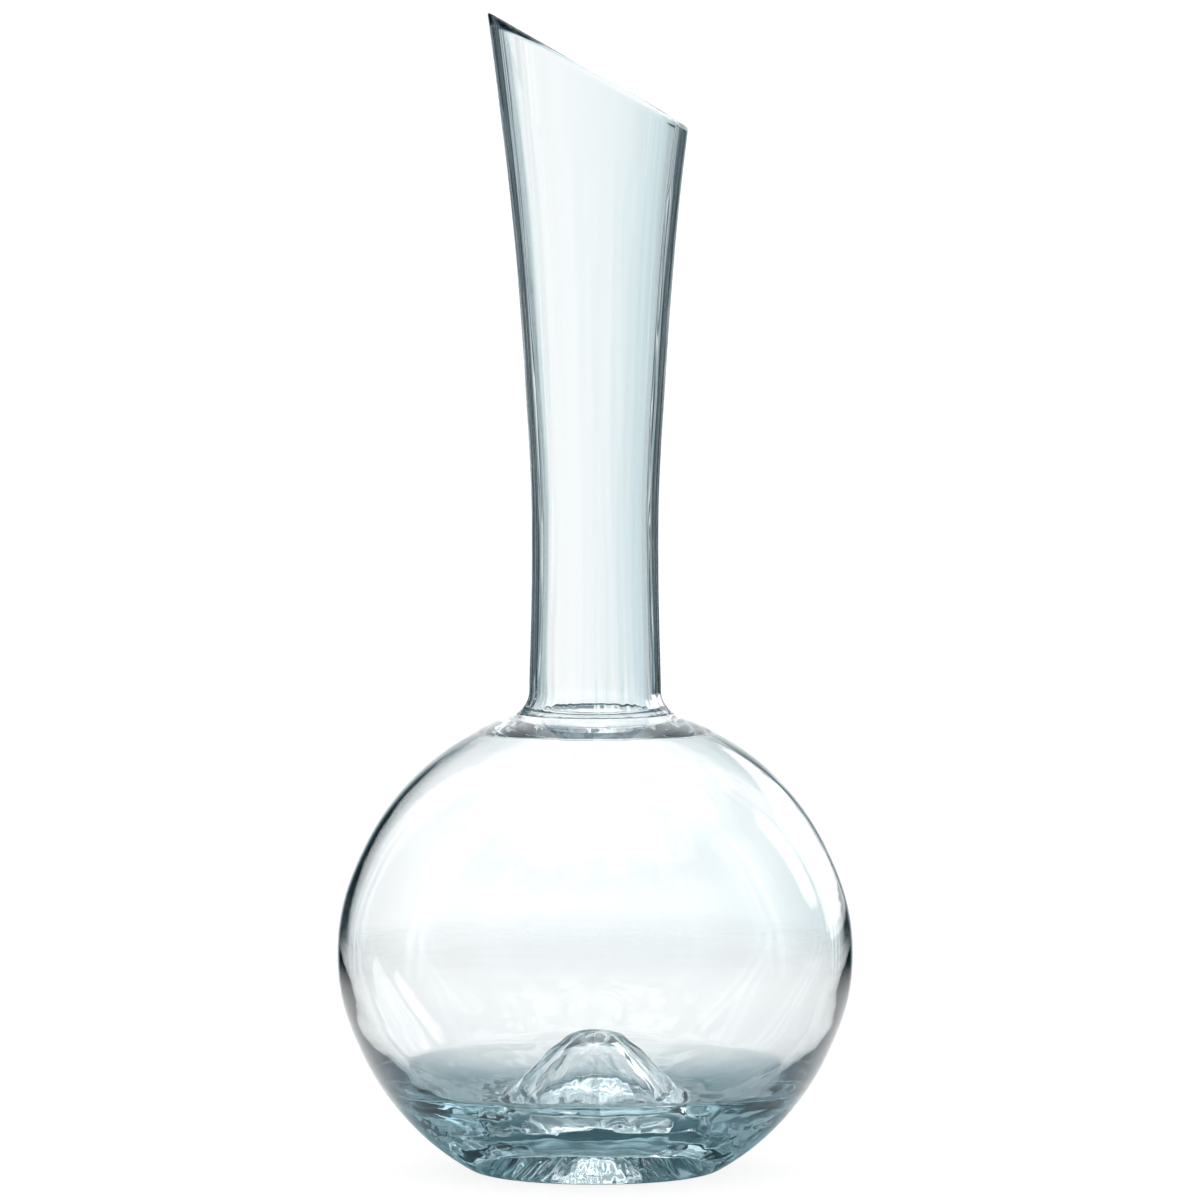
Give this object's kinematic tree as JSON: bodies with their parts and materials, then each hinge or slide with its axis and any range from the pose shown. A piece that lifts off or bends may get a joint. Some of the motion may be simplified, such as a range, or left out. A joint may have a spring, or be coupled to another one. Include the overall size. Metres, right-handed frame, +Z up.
{
  "type": "wine decanter",
  "caption": "Clear glass wine decanter with a round bowl, a heavy punted base and a slim neck that flares to a lip cut on a slant.",
  "frame": {"origin": "centre of the foot ring, on the surface the decanter stands on", "axes": "+Z up along the axis that both pieces are turned about; the slanted lip is highest towards -X and lowest towards +X"},
  "size_m": [0.15, 0.15, 0.3357],
  "materials": {
    "clear_glass": "blown and fire-polished, clear with a faint blue-green body colour"
  },
  "bodies": {
    "root": {"bowl": "clear_glass", "neck": "clear_glass"}
  },
  "joints": []
}
